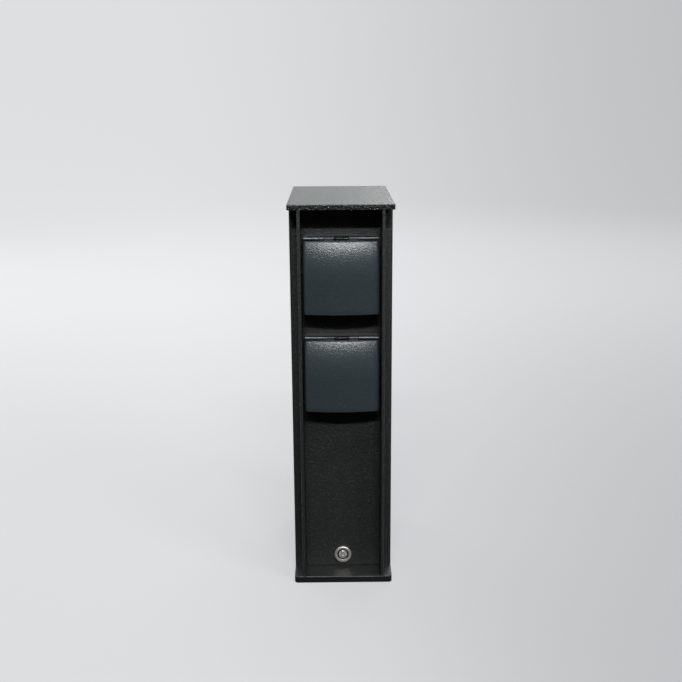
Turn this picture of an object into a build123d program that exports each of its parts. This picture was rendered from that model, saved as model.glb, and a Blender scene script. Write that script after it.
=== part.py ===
from build123d import *
import os
from math import radians, sin

# A small outdoor power pedestal: a folded steel post on a base plate, under a flat roof plate.
# Two full-height fins frame a recess, and the panel at the back of it carries two socket outlets
# with spring-return rain lids, and a quarter-turn lock at its foot.
# Frame: +Z up, the front faces -Y, +X is to the right of someone facing it. The origin is the
# centre of the overall box on the ground.

# ---- driving dimensions, mm ----

overall_height = 400.0
body_width = 103.0
body_depth = 150.0  # from the panel's face to the back of the casing
front_recess = 25.0  # from the panel's face to the front edges of fins, roof and base
sheet = 2.0
bend_radius = 2.5
fin_inner = 39.7  # half the clear width between the fins
fin_thickness = 3.0
plate_edge = 0.8  # softened edges of the coated plates

roof_thickness = 5.5
roof_overhang_side = 1.0
roof_overhang_back = 2.0
roof_corner = 2.0

base_thickness = 7.0
base_corner = 4.0
anchor_spacing_x = 66.0
anchor_spacing_y = 100.0
anchor_hole_radius = 4.5
anchor_centre_y = 12.0
cable_hole_radius = 16.0
bushing_bore_radius = 12.0
bushing_flange = 3.0
bushing_lip = 2.0

angle_leg = 20.0
angle_length = 40.0
angle_screw_inset = 11.0  # from the casing's side wall to the screw
plate_screw_radius = 2.0
plate_screw_length = 6.0
plate_screw_head_radius = 4.0
plate_screw_head_height = 2.6

panel_gap = 0.5
gasket_thickness = 1.5
gasket_width = 4.5
seat_thickness = 2.5
seat_side_land = 5.2  # how far the seat reaches in behind the panel's edge
seat_foot_land = 4.1
seat_head_land = 8.2
seat_gap = 0.3
hook_x = 22.0
hook_width = 12.0
hook_sheet = 1.5
hook_rise = 8.5

lock_height = 20.4
lock_head_radius = 9.0
lock_head_height = 2.0
lock_recess_radius = 6.5
lock_recess_depth = 1.8
lock_barrel_radius = 7.0
lock_nut_flats = 17.0
lock_nut_height = 3.6
key_post_radius = 4.6
key_post_height = 2.6
cam_reach = 12.2
cam_width = 9.0
cam_thickness = 2.0
cam_square = 5.5

socket_pitch = 101.0
upper_lid_bottom = 290.2
lid_width = 75.0
lid_height = 73.0
lid_reach = 23.0  # how far the lid's lower edge stands in front of the panel
lid_wall = 2.0
lid_plan_radius = 183.0
lid_swell_radius = 92.0
lid_swell_angle = 24.5
lid_brow_radius = 3.3
lid_side_round = 3.0

frame_width = 74.0
frame_seal_thickness = 1.0
frame_flange = 2.5
frame_corner = 3.0
frame_show_below = 0.8  # the lid hangs this far below the frame
frame_lip_reach = 8.8
frame_lip_thickness = 1.0
frame_screw_inset = 7.0  # from the lid's side to the screws under it
frame_screw_z = 28.0
frame_screw_radius = 1.7
frame_screw_head_radius = 3.0
frame_screw_head_height = 1.8
frame_screw_length = 10.0
frame_nut_flats = 6.0
frame_nut_height = 2.4

hinge_proud = 8.0
hinge_above_lid = 1.3
hinge_trough_depth = 0.9  # the lid's top drops this far behind the brow, to clear pin and spring
hinge_trough_floor = 2.3  # how far in front of the hinge axis the drop's floor ends
hinge_trough_slope = 1.3
knuckle_radius = 1.7
knuckle_start = 7.5
knuckle_width = 9.0
knuckle_gap = 0.5
hinge_pin_radius = 0.9
spring_wire = 0.5

well_above_lid_bottom = 36.3
well_radius = 19.8
well_depth = 17.5
well_rim_proud = 9.0
well_wall = 4.2
well_floor = 3.0
well_collar_radius = 28.0
panel_cutout_radius = 26.0
pin_spacing = 19.0
pin_hole_radius = 2.6
contact_bore_radius = 2.45
contact_wall = 1.05
contact_length = 14.8
socket_body_depth = 20.0
clip_width = 5.0
clip_thickness = 0.8
lid_seal_height = 2.0
lid_seal_gap = 0.3

wire_radius = 1.7
wire_bend = 12.0

rail_below_well = 95.5  # from the middle of the lower socket down to the rail
rail_length = 80.0
rail_width = 35.0
rail_depth = 7.5
rail_sheet = 1.0
rail_stud_x = 30.0
terminal_width = 8.0
terminal_height = 42.0
terminal_depth = 30.0

clamp_height = 60.0
clamp_width = 30.0
clamp_cable_radius = 6.2

seat_side_cover = 4.3  # how far the seat reaches out behind the casing's front returns
bushing_step = 1.0  # from the ground to the bushing's lower edge
hook_drop = 3.5  # from the seat's head down to the hook's shelf
lock_spindle_step = 0.2
post_dimple_radius = 0.9
post_dimple_depth = 1.0
post_round = 1.6
cam_bore_radius = 1.25
cam_bore_depth = 6.5
cam_round = 1.5
cam_screw_head_radius = 3.6
cam_screw_head_height = 2.0
cam_screw_radius = 1.2
cam_screw_length = 6.0

clamp_behind_bushing = 3.0
clamp_above_screws = 8.0  # from the clamp's screws up to the bracket's top
clamp_wall = 2.5
clamp_depth = 6.0  # from the bracket to the middle of the cable
clamp_band = 10.0
clamp_screw_out = 4.8  # from the cable's side to each screw
clamp_screw_radius = 1.5
clamp_screw_head_radius = 2.2
clamp_screw_head_height = 1.6

rail_web = 25.0  # height of the rail's flat back
rail_nut_flats = 7.0
rail_nut_height = 3.2
stud_past_nut = 1.3
wire_depth = 12.0  # how far each wire reaches down into its terminal
terminal_foot = 3.0
terminal_foot_height = 3.3
terminal_claw = 1.8
terminal_claw_height = 2.0
terminal_round = 2.0
first_wire_inset = 6.0
wire_row_spacing = 9.0

knuckle_sweep = 0.6  # between the turning knuckles and the frame's lip
key_rib_width = 4.0  # ribs at the sides of the well that key the plug
key_rib_height = 5.0
wire_entry_below = 7.8  # from the well's middle down to where the wires come in
wire_entry_behind = 12.5  # from the insert's back to the wires
terminal_screw_below = 12.0
terminal_screw_radius = 1.5
terminal_screw_head_radius = 2.6
terminal_screw_head_height = 1.6
clip_front = 1.0
clip_back_step = 2.0
clip_tail = 8.0
clip_tail_slot = 2.4
contact_floor = 2.0

small_round = 0.5
running_clearance = 0.05
screw_clearance = 0.1
sliding_clearance = 0.2

# ---- places worked out from them ----

y_front = -(front_recess + body_depth + roof_overhang_back) / 2
panel_y = y_front + front_recess
back_y = panel_y + body_depth
roof_underside = overall_height - roof_thickness
casing_height = roof_underside - base_thickness
fin_outer = fin_inner + fin_thickness
inner_half_width = body_width / 2 - sheet
panel_back = sheet
seat_front = panel_back + gasket_thickness
seat_back = seat_front + seat_thickness
seat_half_width = fin_outer + seat_side_cover
angle_screw_x = inner_half_width - angle_screw_inset
well_floor_proud = well_rim_proud - well_depth
insert_back = well_floor - well_floor_proud
socket_back = insert_back + socket_body_depth
terminal_x = pin_spacing / 2
wire_entry_depth = insert_back + wire_entry_behind
frame_screw_x = lid_width / 2 - frame_screw_inset
lower_well_z = upper_lid_bottom + well_above_lid_bottom - socket_pitch
rail_height = lower_well_z - rail_below_well

MIDDLE_UP = (Align.CENTER, Align.CENTER, Align.MIN)
MIDDLE_DOWN = (Align.CENTER, Align.CENTER, Align.MAX)


def facing(proud, x=0.0, z=0.0):
    """Plane parallel to the panel, this far in front of its face. Local x is X and local y is Z."""
    return Plane(origin=(x, panel_y - proud, z), x_dir=(1, 0, 0), z_dir=(0, -1, 0))


def behind(depth, x=0.0, z=0.0):
    """Plane parallel to the panel, this far behind its face, looking backwards along +Y."""
    return Plane(origin=(x, panel_y + depth, z), x_dir=(-1, 0, 0), z_dir=(0, 1, 0))


def save(piece, name):
    piece.part.label = name
    export_step(piece.part, f"parts/{name}.step")


def pan_screw(head_radius, head_height, shank_radius, shank_length):
    """Cross-recessed screw: its head stands on z = 0 and its shank runs down from there."""
    with BuildPart() as screw:
        Cylinder(head_radius, head_height, align=MIDDLE_UP)
        fillet(screw.faces().sort_by(Axis.Z)[-1].edges(), head_height * 0.6)
        Cylinder(shank_radius, shank_length, align=MIDDLE_DOWN)
        with BuildSketch(Plane.XY.offset(head_height)):
            Rectangle(head_radius * 0.9, head_radius * 0.22)
            Rectangle(head_radius * 0.22, head_radius * 0.9)
        extrude(amount=-head_height * 0.6, mode=Mode.SUBTRACT)
    return screw.part


def hex_nut(flats, height, bore_radius):
    """Hexagon nut on z = 0 with two flats level."""
    with BuildPart() as nut:
        with BuildSketch():
            RegularPolygon(flats / 2, 6, major_radius=False)
            Circle(bore_radius, mode=Mode.SUBTRACT)
        extrude(amount=height)
    return nut.part


def place(shape, planes, name):
    """One node that holds a copy of the shape on each plane."""
    with BuildPart() as group:
        with Locations(*planes):
            add(shape)
    save(group, name)


os.makedirs("parts", exist_ok=True)

# ---- base plate and what stands on it ----

with BuildPart() as base_plate:
    with BuildSketch(Plane.XY):
        with Locations((0, (y_front + back_y) / 2)):
            RectangleRounded(body_width, back_y - y_front, base_corner)
    extrude(amount=base_thickness)
    fillet(base_plate.faces().sort_by(Axis.Z)[-1].edges(), plate_edge)
    with Locations((0, anchor_centre_y, base_thickness)):
        with GridLocations(anchor_spacing_x, anchor_spacing_y, 2, 2):
            Hole(anchor_hole_radius, depth=base_thickness)
        Hole(cable_hole_radius, depth=base_thickness)
        with GridLocations(2 * angle_screw_x, 1, 2, 1):
            Hole(plate_screw_radius + screw_clearance, depth=plate_screw_length - sheet)
save(base_plate, "base_plate")

# The bushing drops into the cable hole from above, and its bore lets the supply cable in.
with BuildPart() as cable_bushing:
    with BuildSketch(Plane.XY.offset(bushing_step)):
        with Locations((0, anchor_centre_y)):
            Circle(cable_hole_radius - screw_clearance)
    extrude(amount=base_thickness - bushing_step)
    with BuildSketch(Plane.XY.offset(base_thickness)):
        with Locations((0, anchor_centre_y)):
            Circle(cable_hole_radius + bushing_flange)
    extrude(amount=bushing_lip)
    fillet(cable_bushing.faces().sort_by(Axis.Z)[-1].edges(), bushing_lip / 2)
    with Locations((0, anchor_centre_y, base_thickness + bushing_lip)):
        Hole(bushing_bore_radius)
save(cable_bushing, "cable_bushing")

# ---- casing, fins and roof ----

with BuildPart() as rear_casing:
    with BuildSketch(Plane.XY.offset(base_thickness)):
        with Locations((0, panel_y + body_depth / 2)):
            RectangleRounded(body_width, body_depth, bend_radius)
            RectangleRounded(
                body_width - 2 * sheet, body_depth - 2 * sheet, bend_radius - sheet, mode=Mode.SUBTRACT
            )
        with Locations((0, panel_y + sheet / 2)):
            Rectangle(2 * fin_outer, 2 * sheet, mode=Mode.SUBTRACT)
    extrude(amount=casing_height)
    with BuildSketch(facing(sheet - body_depth)):
        with Locations((-rail_stud_x, rail_height), (rail_stud_x, rail_height)):
            Circle(plate_screw_radius)
    extrude(amount=rail_sheet + rail_nut_height + stud_past_nut)
save(rear_casing, "rear_casing")

for side, fin_name in ((-1, "left_fin"), (1, "right_fin")):
    with BuildPart() as fin:
        with BuildSketch(Plane.XY.offset(base_thickness)):
            with Locations((side * (fin_inner + fin_thickness / 2), (y_front + panel_y + seat_front) / 2)):
                Rectangle(fin_thickness, front_recess + seat_front)
        extrude(amount=casing_height)
        fillet(fin.faces().sort_by(Axis.Y)[0].edges().filter_by(Axis.Z), plate_edge)
    save(fin, fin_name)

with BuildPart() as roof_plate:
    with BuildSketch(Plane.XY.offset(roof_underside)):
        RectangleRounded(body_width + 2 * roof_overhang_side, -2 * y_front, roof_corner)
    extrude(amount=roof_thickness)
    fillet(roof_plate.faces().sort_by(Axis.Z)[-1].edges(), plate_edge)
    fillet(roof_plate.faces().sort_by(Axis.Z)[0].edges(), plate_edge / 2)
    with Locations((0, anchor_centre_y, roof_underside)):
        with GridLocations(2 * angle_screw_x, 1, 2, 1):
            Cylinder(
                plate_screw_radius + screw_clearance,
                plate_screw_length - sheet,
                align=MIDDLE_UP,
                mode=Mode.SUBTRACT,
            )
save(roof_plate, "roof_plate")


def corner_angles(face_z, away, name):
    """A pair of angles: one leaf lies on the plate at face_z, the other on the casing's side."""
    with BuildPart() as angles:
        with Locations((0, anchor_centre_y, face_z + away * angle_leg / 2)):
            with GridLocations(2 * (inner_half_width - sheet / 2), 1, 2, 1):
                Box(sheet, angle_length, angle_leg)
        with Locations((0, anchor_centre_y, face_z + away * sheet / 2)):
            with GridLocations(2 * (inner_half_width - angle_leg / 2), 1, 2, 1):
                Box(angle_leg, angle_length, sheet)
            with GridLocations(2 * angle_screw_x, 1, 2, 1):
                Cylinder(plate_screw_radius + screw_clearance, 2 * sheet, mode=Mode.SUBTRACT)
    save(angles, name)


corner_angles(base_thickness, 1, "base_angles")
corner_angles(roof_underside, -1, "roof_angles")

plate_screw = pan_screw(
    plate_screw_head_radius, plate_screw_head_height, plate_screw_radius, plate_screw_length - 0.3
)
place(
    plate_screw,
    [Plane((s * angle_screw_x, anchor_centre_y, base_thickness + sheet)) for s in (-1, 1)],
    "base_screws",
)
place(
    plate_screw,
    [
        Plane((s * angle_screw_x, anchor_centre_y, roof_underside - sheet), z_dir=(0, 0, -1))
        for s in (-1, 1)
    ],
    "roof_screws",
)

# ---- service panel, its seat, gasket and hooks ----

panel_half_width = fin_inner - panel_gap
panel_low = base_thickness + panel_gap
panel_high = roof_underside - panel_gap
seat_inner_half = panel_half_width - seat_side_land + panel_gap
seat_foot = panel_low + seat_foot_land
seat_head = panel_high - seat_head_land
socket_levels = {
    "upper": lower_well_z + socket_pitch,
    "lower": lower_well_z,
}


def upright_ring(front, depth, half_out, low_out, high_out, half_in, low_in, high_in, name):
    """Flat rectangular ring parallel to the panel, its front face this far behind the panel's."""
    with BuildPart() as ring:
        with BuildSketch(facing(-front)):
            with Locations((0, (low_out + high_out) / 2)):
                Rectangle(2 * half_out, high_out - low_out)
            with Locations((0, (low_in + high_in) / 2)):
                Rectangle(2 * half_in, high_in - low_in, mode=Mode.SUBTRACT)
        extrude(amount=-depth)
    save(ring, name)


upright_ring(
    seat_front,
    seat_thickness,
    seat_half_width,
    base_thickness + seat_gap,
    roof_underside - seat_gap,
    seat_inner_half,
    seat_foot,
    seat_head,
    "panel_seat",
)
upright_ring(
    panel_back,
    gasket_thickness,
    panel_half_width,
    panel_low + seat_gap,
    panel_high - seat_gap,
    panel_half_width - gasket_width,
    seat_foot,
    seat_head,
    "panel_gasket",
)

with BuildPart() as service_panel:
    with BuildSketch(facing(0)):
        with Locations((0, (panel_low + panel_high) / 2)):
            Rectangle(2 * panel_half_width, panel_high - panel_low)
        for well_z in socket_levels.values():
            with Locations((0, well_z)):
                Circle(panel_cutout_radius, mode=Mode.SUBTRACT)
                with GridLocations(2 * frame_screw_x, 2 * frame_screw_z, 2, 2):
                    Circle(frame_screw_radius + sliding_clearance, mode=Mode.SUBTRACT)
        with Locations((0, lock_height)):
            Circle(lock_barrel_radius + screw_clearance, mode=Mode.SUBTRACT)
    extrude(amount=-sheet)
save(service_panel, "service_panel")

# Each hook is welded to the panel's back, passes under the seat's head and rises behind it.
hook_shelf = seat_head - hook_drop
hook_reach = seat_back + seat_gap + hook_sheet
with BuildPart() as panel_hooks:
    with BuildSketch(Plane.YZ):
        with Locations((panel_y + panel_back, hook_shelf)):
            Rectangle(hook_sheet, hook_width, align=(Align.MIN, Align.MAX))
            Rectangle(hook_reach - panel_back, hook_sheet, align=(Align.MIN, Align.MAX))
        with Locations((panel_y + hook_reach, hook_shelf - hook_sheet)):
            Rectangle(hook_sheet, hook_rise + hook_sheet, align=(Align.MAX, Align.MIN))
    extrude(amount=hook_width / 2, both=True)
with BuildPart() as hook_pair:
    with GridLocations(2 * hook_x, 1, 2, 1):
        add(panel_hooks.part)
save(hook_pair, "panel_hooks")

# ---- quarter-turn lock ----

lock_recess_floor = lock_head_height - lock_recess_depth
lock_barrel_end = panel_back + lock_nut_height + lock_spindle_step
cam_front = seat_back + seat_gap
square_start = lock_barrel_end + lock_spindle_step
spindle_end = cam_front + cam_thickness + screw_clearance

with BuildPart() as lock_housing:
    with BuildSketch(facing(0, z=lock_height)):
        Circle(lock_head_radius)
    extrude(amount=lock_head_height)
    fillet(lock_housing.faces().sort_by(Axis.Y)[0].edges(), plate_edge)
    with BuildSketch(facing(lock_recess_floor, z=lock_height)):
        Circle(lock_recess_radius)
    extrude(amount=lock_head_height, mode=Mode.SUBTRACT)
    with BuildSketch(facing(0, z=lock_height)):
        Circle(lock_barrel_radius)
    extrude(amount=-lock_barrel_end)
    with BuildSketch(facing(lock_head_height, z=lock_height)):
        Circle(key_post_radius + running_clearance)
    extrude(amount=-(lock_head_height + lock_barrel_end), mode=Mode.SUBTRACT)
save(lock_housing, "lock_housing")

place(
    hex_nut(lock_nut_flats, lock_nut_height, lock_barrel_radius + running_clearance),
    [behind(panel_back, z=lock_height)],
    "lock_nut",
)

# The spindle's front is a rounded triangular post that a key fits over. Its tail is square.
with BuildPart() as lock_spindle:
    with BuildSketch(facing(lock_recess_floor, z=lock_height)):
        Circle(key_post_radius)
    extrude(amount=-(lock_recess_floor + square_start))
    with BuildSketch(facing(lock_recess_floor, z=lock_height)) as post:
        RegularPolygon(key_post_radius + 1.0, 3, rotation=90)
        fillet(post.vertices(), post_round)
    extrude(amount=key_post_height)
    fillet(lock_spindle.faces().sort_by(Axis.Y)[0].edges(), plate_edge / 2)
    with BuildSketch(facing(lock_recess_floor + key_post_height, z=lock_height)):
        Circle(post_dimple_radius)
    extrude(amount=-post_dimple_depth, mode=Mode.SUBTRACT)
    with BuildSketch(behind(square_start, z=lock_height)):
        Rectangle(cam_square, cam_square)
    extrude(amount=spindle_end - square_start)
    with BuildSketch(behind(spindle_end, z=lock_height)):
        Circle(cam_bore_radius)
    extrude(amount=-cam_bore_depth, mode=Mode.SUBTRACT)
save(lock_spindle, "lock_spindle")

with BuildPart() as lock_cam:
    with BuildSketch(facing(-cam_front, z=lock_height)):
        Circle(cam_width / 2 + 1.0)
        Rectangle(cam_width, cam_reach, align=(Align.CENTER, Align.MAX))
        Rectangle(cam_square + screw_clearance, cam_square + screw_clearance, mode=Mode.SUBTRACT)
    extrude(amount=-cam_thickness)
    fillet(lock_cam.faces().sort_by(Axis.Z)[0].edges().filter_by(Axis.Y), cam_round)
save(lock_cam, "lock_cam")

place(
    pan_screw(cam_screw_head_radius, cam_screw_head_height, cam_screw_radius, cam_screw_length),
    [behind(spindle_end, z=lock_height)],
    "cam_screw",
)

# ---- supply side: clamp, rail, terminals and wires ----

clamp_y = anchor_centre_y + cable_hole_radius + bushing_flange + clamp_behind_bushing
clamp_screw_x = clamp_cable_radius + clamp_screw_out
with BuildPart() as clamp_bracket:
    with BuildSketch(Plane.YZ):
        with Locations((clamp_y, base_thickness)):
            Rectangle(sheet, clamp_height + clamp_above_screws, align=(Align.MIN, Align.MIN))
            Rectangle(clamp_width, sheet, align=(Align.MIN, Align.MIN))
    extrude(amount=clamp_width / 2, both=True)
    with BuildSketch(Plane(origin=(0, clamp_y, clamp_height), x_dir=(1, 0, 0), z_dir=(0, -1, 0))):
        with GridLocations(2 * clamp_screw_x, 1, 2, 1):
            Circle(clamp_screw_radius + screw_clearance)
    extrude(amount=-sheet, mode=Mode.SUBTRACT)
save(clamp_bracket, "clamp_bracket")

# The saddle's arch leaves room for the supply cable between it and the bracket.
with BuildPart() as cable_clamp:
    with BuildSketch(Plane.XY.offset(clamp_height - clamp_band / 2)):
        with Locations((0, clamp_y)):
            Rectangle(clamp_width, clamp_wall, align=(Align.CENTER, Align.MAX))
            Rectangle(2 * (clamp_cable_radius + clamp_wall), clamp_depth, align=(Align.CENTER, Align.MAX))
        with Locations((0, clamp_y - clamp_depth)):
            Circle(clamp_cable_radius + clamp_wall)
            Circle(clamp_cable_radius, mode=Mode.SUBTRACT)
        with Locations((0, clamp_y)):
            Rectangle(
                2 * clamp_cable_radius, clamp_depth, align=(Align.CENTER, Align.MAX), mode=Mode.SUBTRACT
            )
            Rectangle(clamp_width, clamp_depth, align=(Align.CENTER, Align.MIN), mode=Mode.SUBTRACT)
    extrude(amount=clamp_band)
    with BuildSketch(
        Plane(origin=(0, clamp_y - clamp_wall, clamp_height), x_dir=(1, 0, 0), z_dir=(0, -1, 0))
    ):
        with GridLocations(2 * clamp_screw_x, 1, 2, 1):
            Circle(clamp_screw_radius + screw_clearance)
    extrude(amount=-clamp_wall, mode=Mode.SUBTRACT)
save(cable_clamp, "cable_clamp")
place(
    pan_screw(
        clamp_screw_head_radius,
        clamp_screw_head_height,
        clamp_screw_radius,
        clamp_wall + sheet - screw_clearance,
    ),
    [
        Plane((s * clamp_screw_x, clamp_y - clamp_wall, clamp_height), z_dir=(0, -1, 0))
        for s in (-1, 1)
    ],
    "clamp_screws",
)

rail_wall_y = back_y - sheet
rail_front_y = rail_wall_y - rail_depth
rail_web_half = (rail_web - rail_sheet) / 2
rail_flange_start = rail_web_half - rail_sheet / 2
rail_flange = rail_width / 2 - rail_flange_start
with BuildPart() as din_rail:
    with BuildSketch(Plane.YZ):
        with Locations((rail_wall_y, rail_height)):
            Rectangle(rail_sheet, rail_web, align=(Align.MAX, Align.CENTER))
        for side in (-1, 1):
            with Locations(((rail_wall_y + rail_front_y) / 2, rail_height + side * rail_web_half)):
                Rectangle(rail_depth, rail_sheet)
            with Locations(
                (rail_front_y + rail_sheet / 2, rail_height + side * (rail_flange_start + rail_flange / 2))
            ):
                Rectangle(rail_sheet, rail_flange)
    extrude(amount=rail_length / 2, both=True)
    with BuildSketch(facing(sheet - body_depth + rail_sheet)):
        with Locations((-rail_stud_x, rail_height), (rail_stud_x, rail_height)):
            Circle(plate_screw_radius + sliding_clearance)
    extrude(amount=-rail_sheet, mode=Mode.SUBTRACT)
save(din_rail, "din_rail")
place(
    hex_nut(rail_nut_flats, rail_nut_height, plate_screw_radius + running_clearance),
    [facing(sheet - body_depth + rail_sheet, x=s * rail_stud_x, z=rail_height) for s in (-1, 1)],
    "rail_nuts",
)

# Each terminal sits on the rail's flanges, and a foot above and below grips behind them.
terminal_top = rail_height + terminal_height / 2
wire_start = terminal_top - wire_depth
lower_wire_y = rail_front_y - terminal_depth + first_wire_inset
upper_wire_y = lower_wire_y + wire_row_spacing
foot_z = (rail_width + terminal_foot_height) / 2 + sliding_clearance
claw_z = (rail_width - terminal_claw_height) / 2 + 3 * sliding_clearance
claw_y = rail_front_y + rail_sheet + sliding_clearance + terminal_claw / 2
for pole, x in (("line", -terminal_x), ("earth", 0.0), ("neutral", terminal_x)):
    with BuildPart() as terminal:
        with BuildSketch(Plane.YZ.offset(x)):
            with Locations((rail_front_y, rail_height)):
                Rectangle(terminal_depth, terminal_height, align=(Align.MAX, Align.CENTER))
            for side in (-1, 1):
                with Locations((rail_front_y + terminal_foot / 2, rail_height + side * foot_z)):
                    Rectangle(terminal_foot, terminal_foot_height)
                with Locations((claw_y, rail_height + side * claw_z)):
                    Rectangle(terminal_claw, terminal_claw_height)
        extrude(amount=terminal_width / 2, both=True)
        fillet(terminal.faces().sort_by(Axis.Y)[0].edges().filter_by(Axis.X), terminal_round)
        with Locations((x, lower_wire_y, terminal_top), (x, upper_wire_y, terminal_top)):
            Hole(wire_radius + sliding_clearance, depth=terminal_top - wire_start)
    save(terminal, f"{pole}_terminal")

    # One wire rises to the lower socket, the other passes behind it to the upper socket.
    with BuildPart() as wires:
        for start_y, level in ((lower_wire_y, "lower"), (upper_wire_y, "upper")):
            well_z = socket_levels[level]
            turn_z = well_z - well_radius - well_wall - 2.2 * wire_bend
            end_y = panel_y + wire_entry_depth
            with BuildLine(Plane.YZ.offset(x)) as route:
                FilletPolyline(
                    (start_y, wire_start),
                    (start_y, turn_z),
                    (end_y, turn_z),
                    (end_y, well_z - wire_entry_below - sliding_clearance),
                    radius=wire_bend,
                )
            with BuildSketch(Plane((x, start_y, wire_start))):
                Circle(wire_radius)
            sweep(path=route.wires()[0])
    save(wires, f"{pole}_wires")


# ---- the two sockets ----

lid_rear = frame_seal_thickness + frame_flange + panel_gap
lid_wrap = lid_plan_radius - lid_reach
seal_inner = well_radius + 0.8
seal_outer = well_radius + well_wall - 0.2
seal_face = well_rim_proud + lid_seal_gap
rib_face = seal_face + lid_seal_height
spring_half = knuckle_start - knuckle_gap
frame_knuckle_start = knuckle_start + knuckle_width + knuckle_gap


def lid_form(bottom, inset, rear):
    """The lid's outer form, or its hollow one wall further in: a side profile swung round an upright axis."""
    low = bottom + inset
    high = bottom + lid_height - inset
    front_y = panel_y - lid_reach + inset
    swell = lid_swell_radius - inset
    brow = lid_brow_radius - inset
    lean = radians(lid_swell_angle)
    straight = high - low - swell * sin(lean) - brow * (1 - sin(lean))
    with BuildPart() as form:
        with BuildSketch(Plane.YZ):
            with BuildLine():
                upright = Line((front_y, low), (front_y, low + straight))
                front = JernArc(upright @ 1, (0, 1), swell, -lid_swell_angle)
                top = JernArc(front @ 1, front % 1, brow, lid_swell_angle - 90)
                Polyline(top @ 1, (panel_y, high), (panel_y, low), (front_y, low))
            make_face()
        revolve(axis=Axis((0, panel_y + lid_wrap, 0), (0, 0, 1)))
        with Locations(facing(rear, z=bottom + lid_height / 2)):
            Box(
                lid_width - 2 * inset,
                lid_height - 2 * inset,
                2 * lid_reach,
                align=MIDDLE_UP,
                mode=Mode.INTERSECT,
            )
    return form


def hinge_spans(start, end):
    """The two planes, square to the hinge, on which the left and right knuckles begin."""
    return [(start, end), (-end, -start)]


def same_place(edge, other):
    return (edge.center() - other.center()).length < 0.01


def make_lid(level, bottom, well_z):
    lid_top = bottom + lid_height
    trough_z = lid_top - hinge_trough_depth
    hinge_z = lid_top + hinge_above_lid
    hinge_y = panel_y - hinge_proud
    outer = lid_form(bottom, 0.0, lid_rear)
    side_edges = outer.edges().filter_by(lambda e: abs(abs(e.center().X) - lid_width / 2) < 0.01)
    side_edges = side_edges.filter_by(lambda e: e.center().Y < panel_y - lid_rear - 1)
    side_edges = side_edges.filter_by(lambda e: abs(e.center().Z - bottom) > 0.01)
    hollow = lid_form(bottom, lid_wall, lid_rear - lid_wall)
    # The rib that carries the seal ends inside the lid's front wall.
    with BuildPart() as seal_rib:
        with BuildSketch(facing(rib_face, z=well_z)):
            Circle(seal_outer)
            Circle(seal_inner, mode=Mode.SUBTRACT)
        extrude(amount=lid_reach)
        add(outer.part, mode=Mode.INTERSECT)
    with BuildPart() as lid:
        add(outer.part)
        fillet(lid.edges().filter_by(lambda e: any(same_place(e, s) for s in side_edges)), lid_side_round)
        with BuildSketch(Plane.YZ.offset(-lid_width / 2)):
            with BuildLine():
                Polyline(
                    (panel_y, trough_z),
                    (hinge_y - hinge_trough_floor, trough_z),
                    (hinge_y - hinge_trough_floor - hinge_trough_slope, lid_top),
                    (hinge_y - hinge_trough_floor - hinge_trough_slope, hinge_z),
                    (panel_y, hinge_z),
                    close=True,
                )
            make_face()
        extrude(amount=lid_width, mode=Mode.SUBTRACT)
        add(hollow.part, mode=Mode.SUBTRACT)
        add(seal_rib.part)
        for start, end in hinge_spans(knuckle_start, knuckle_start + knuckle_width):
            with BuildSketch(Plane.YZ.offset(start)):
                with Locations((hinge_y, hinge_z)):
                    Circle(knuckle_radius)
                    Rectangle(
                        2 * knuckle_radius,
                        hinge_above_lid + hinge_trough_depth + lid_wall / 2,
                        align=(Align.CENTER, Align.MAX),
                    )
            extrude(amount=end - start)
        with BuildSketch(Plane.YZ.offset(-lid_width / 2)):
            with Locations((hinge_y, hinge_z)):
                Circle(hinge_pin_radius + running_clearance)
        extrude(amount=lid_width, mode=Mode.SUBTRACT)
    save(lid, f"{level}_lid")

    with BuildPart() as lid_seal:
        with BuildSketch(facing(seal_face, z=well_z)):
            Circle(seal_outer)
            Circle(seal_inner, mode=Mode.SUBTRACT)
        extrude(amount=lid_seal_height)
    save(lid_seal, f"{level}_lid_seal")


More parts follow.
